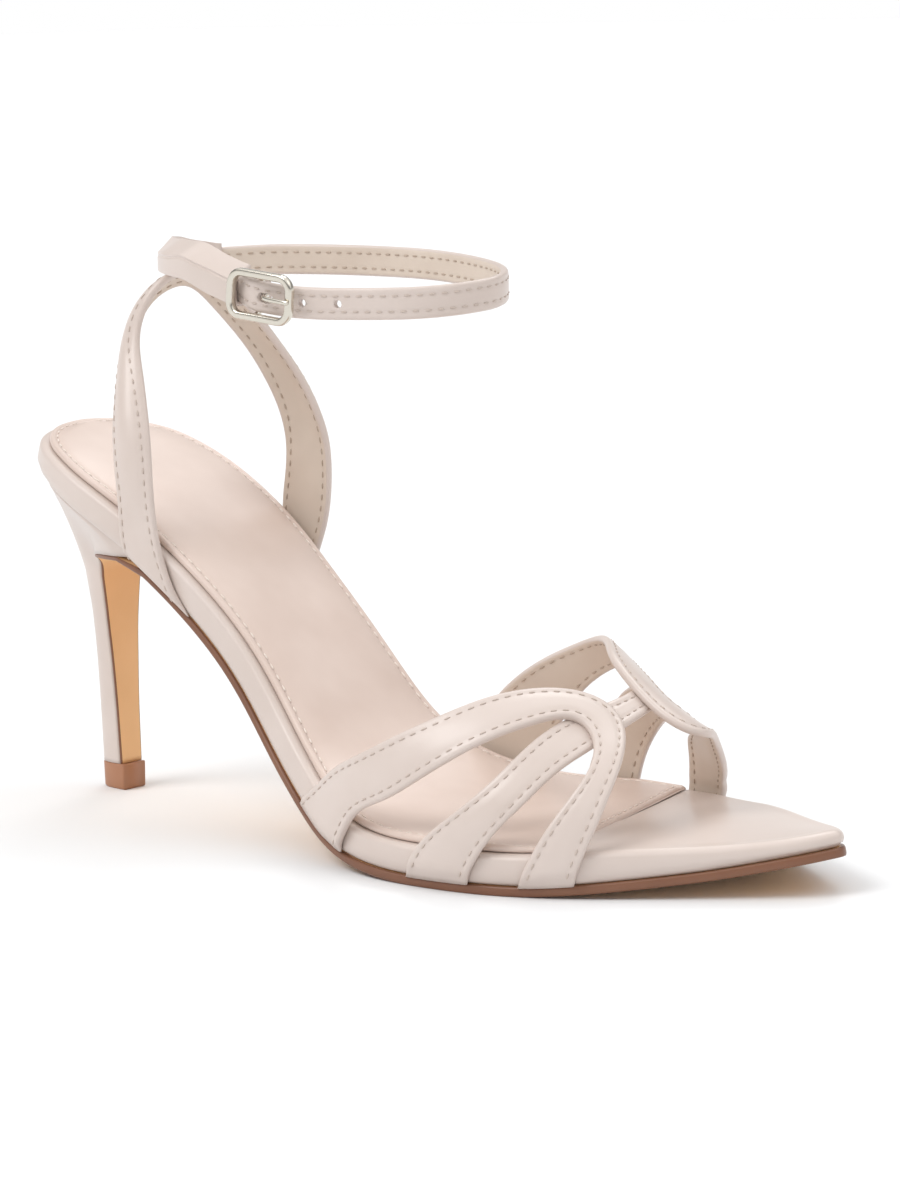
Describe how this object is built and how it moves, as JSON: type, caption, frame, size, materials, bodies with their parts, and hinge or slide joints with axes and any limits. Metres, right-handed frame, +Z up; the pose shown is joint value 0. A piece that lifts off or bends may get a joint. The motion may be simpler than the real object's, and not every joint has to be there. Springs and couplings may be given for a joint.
{
  "type": "strappy heeled sandal",
  "caption": "Women's right sandal with a pointed open toe, looped forefoot straps, heel straps, a buckled ankle strap and a covered stiletto heel",
  "frame": {"origin": "on the floor, below the middle of the shoe's bounding box", "axes": "+X from the heel to the toe, +Y to the inner side of the foot, +Z up"},
  "size_m": [0.2226, 0.0866, 0.1336],
  "materials": {
    "upper_leather": "smooth satin calf in pale blush nude",
    "sock_leather": "smooth lining leather in taupe",
    "sole_leather": "burnished brown edge, tan face",
    "tip_rubber": "hard brown lift",
    "nickel": "polished pale nickel"
  },
  "bodies": {
    "root": {"outsole": "sole_leather", "footbed": "upper_leather", "insole": "sock_leather", "heel": "upper_leather", "top_piece": "tip_rubber", "vamp_straps": "upper_leather", "quarter_straps": "upper_leather", "ankle_strap": "upper_leather", "buckle_frame": "nickel", "buckle_prong": "nickel"}
  },
  "joints": []
}
